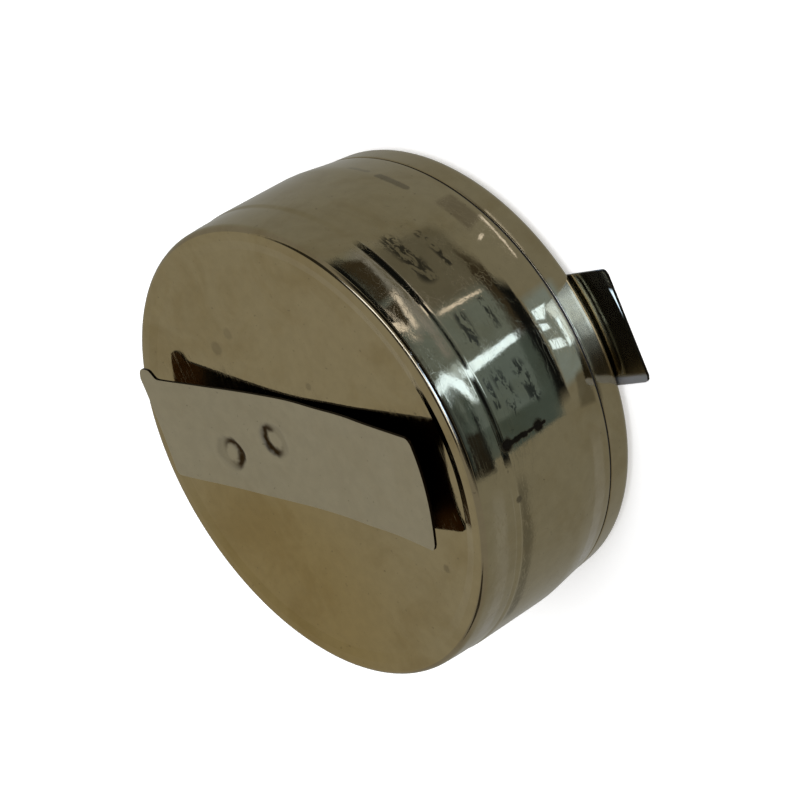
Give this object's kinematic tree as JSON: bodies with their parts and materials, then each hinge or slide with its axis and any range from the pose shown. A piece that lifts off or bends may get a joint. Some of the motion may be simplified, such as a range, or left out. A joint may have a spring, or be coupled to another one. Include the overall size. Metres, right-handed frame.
{
  "type": "lithium coin cell",
  "caption": "Thick round lithium coin cell: crimped can, seal and rear cover around its electrodes, with a flat nickel tab welded to each face.",
  "frame": {"origin": "on the cell's axis, at the underside of the rear tab that the cell lies on", "axes": "+Z along the cell's axis, from the rear cover to the can's face; +X along the rear tab, towards its free end"},
  "size_m": [0.0255, 0.0242, 0.0117],
  "materials": {
    "can_metal": "nickel-plated steel, worn bright",
    "seal_plastic": "moulded polypropylene",
    "cover_metal": "nickel-plated steel, worn bright",
    "ring_steel": "plain stainless steel",
    "pellet_powder": "pressed powder",
    "separator_felt": "non-woven felt",
    "lithium_metal": "soft dull metal",
    "grid_steel": "perforated stainless steel",
    "front_tab_nickel": "satin nickel strip",
    "rear_tab_nickel": "satin nickel strip"
  },
  "bodies": {
    "root": {"can": "can_metal", "seal_ring": "seal_plastic", "rear_cover": "cover_metal", "cathode_ring": "ring_steel", "cathode_pellet": "pellet_powder", "separator": "separator_felt", "lithium_disc": "lithium_metal", "anode_grid": "grid_steel", "front_tab": "front_tab_nickel", "rear_tab": "rear_tab_nickel"}
  },
  "joints": []
}
